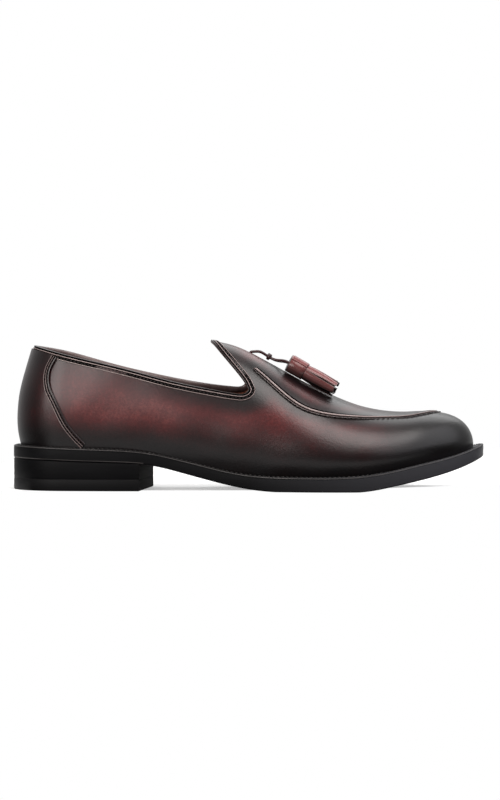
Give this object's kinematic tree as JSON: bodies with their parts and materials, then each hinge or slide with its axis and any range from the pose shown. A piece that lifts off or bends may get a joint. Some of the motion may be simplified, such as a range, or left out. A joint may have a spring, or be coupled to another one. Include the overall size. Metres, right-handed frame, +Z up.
{
  "type": "tassel loafer",
  "caption": "Right slip-on tassel loafer in burnished red-brown calf with raised apron seam, folded collar edge, lace with tassels, and a black leather sole on a low heel.",
  "frame": {"origin": "on the floor, under the middle of the sole's bounding box", "axes": "+X to the toe, +Y to the inner (medial) side of the foot, +Z up"},
  "size_m": [0.305, 0.1047, 0.0965],
  "materials": {
    "edge_leather": "black waxed sole edge, satin",
    "heel_rubber": "black moulded rubber, matt",
    "lining_leather": "tan lining leather, matt",
    "burnished_calf": "red-brown calf burnished darker to the edges, polished",
    "dark_calf": "calf burnished nearly black, polished",
    "edge_calf": "folded dark calf edge, polished",
    "seam_calf": "raised stitched calf seam, dark",
    "tassel_calf": "glossy wine-red calf strips",
    "lace_leather": "thin dark red leather lace"
  },
  "bodies": {
    "root": {"outsole": "edge_leather", "heel_block": "edge_leather", "top_lift": "heel_rubber", "insole": "lining_leather", "upper": "burnished_calf", "counter": "dark_calf", "collar_bead": "edge_calf", "apron_seam": "seam_calf", "tassel_head_lateral": "tassel_calf", "tassel_head_medial": "tassel_calf", "tassel_fringe_lateral": "tassel_calf", "tassel_fringe_medial": "tassel_calf", "lace_lateral": "lace_leather", "lace_medial": "lace_leather", "lace_knot": "lace_leather"}
  },
  "joints": []
}
